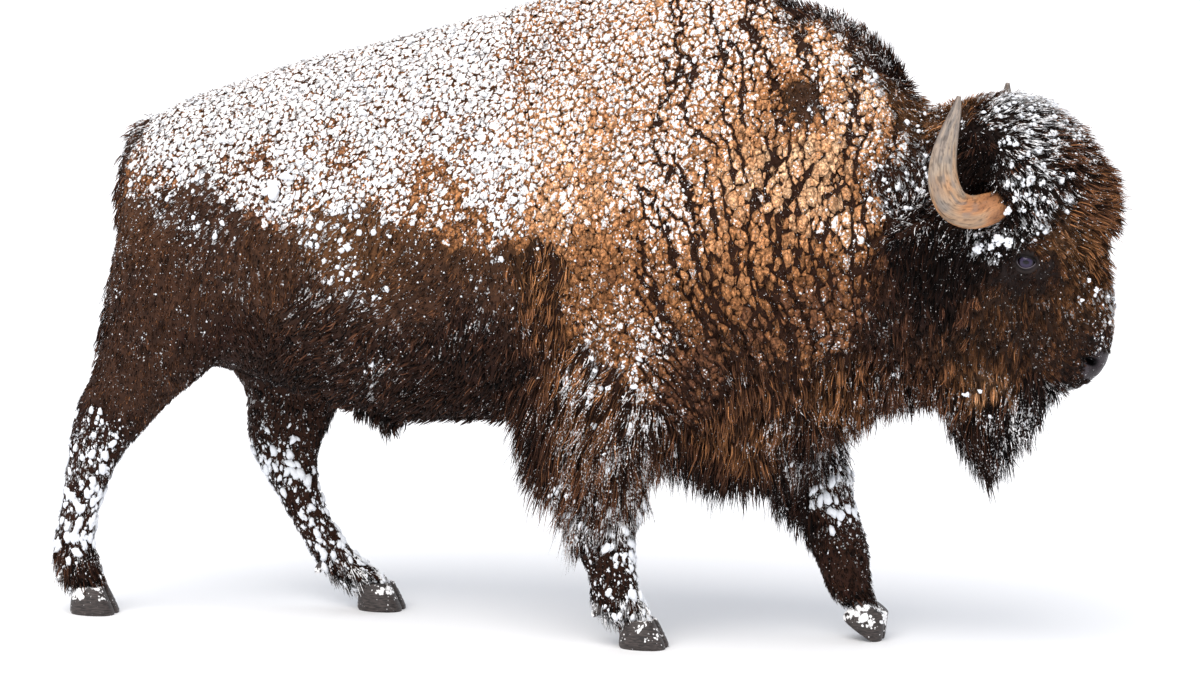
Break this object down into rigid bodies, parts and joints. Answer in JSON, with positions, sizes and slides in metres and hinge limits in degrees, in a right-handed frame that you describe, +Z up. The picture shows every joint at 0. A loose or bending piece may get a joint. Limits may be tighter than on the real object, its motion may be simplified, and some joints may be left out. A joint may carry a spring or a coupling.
{
  "type": "american bison bull, still life-size model",
  "caption": "Life-size still model of a walking bull bison in winter coat, standing on four hooves, with head, horns, beard and tail.",
  "frame": {"origin": "on the floor, under the middle of the animal's bounding box", "axes": "+X towards the nose along the body, +Y to the animal's left, +Z up"},
  "size_m": [3.0474, 0.7449, 1.8321],
  "materials": {
    "coat_dark": "long black-brown hair of the head, beard, legs and tail",
    "coat_tan": "thick golden-tan woolly cape of the hump and neck, dusted with snow",
    "coat_brown": "short dark brown coat of the barrel and rump, dusted with snow on the back",
    "horn": "weathered grey-tan horn sheath with lengthwise streaks",
    "hoof": "dark hoof horn",
    "eye": "wet, nearly black eye"
  },
  "bodies": {
    "root": {"barrel": "coat_brown", "beard": "coat_dark", "dewclaw_fore_left_inner": "hoof", "dewclaw_fore_left_outer": "hoof", "dewclaw_fore_right_inner": "hoof", "dewclaw_fore_right_outer": "hoof", "dewclaw_hind_left_inner": "hoof", "dewclaw_hind_left_outer": "hoof", "dewclaw_hind_right_inner": "hoof", "dewclaw_hind_right_outer": "hoof", "ear_left": "coat_dark", "ear_right": "coat_dark", "eye_left": "eye", "eye_right": "eye", "foreleg_left_shank": "coat_dark", "foreleg_left_upper": "coat_dark", "foreleg_right_shank": "coat_dark", "foreleg_right_upper": "coat_dark", "head": "coat_dark", "hindleg_left_shank": "coat_dark", "hindleg_left_thigh": "coat_dark", "hindleg_right_shank": "coat_dark", "hindleg_right_thigh": "coat_dark", "hoof_fore_left_inner": "hoof", "hoof_fore_left_outer": "hoof", "hoof_fore_right_inner": "hoof", "hoof_fore_right_outer": "hoof", "hoof_hind_left_inner": "hoof", "hoof_hind_left_outer": "hoof", "hoof_hind_right_inner": "hoof", "hoof_hind_right_outer": "hoof", "horn_left": "horn", "horn_right": "horn", "hump_and_chest": "coat_tan", "muzzle": "coat_dark", "neck": "coat_tan", "rump": "coat_brown", "tail": "coat_dark", "tail_tuft": "coat_dark"}
  },
  "joints": []
}
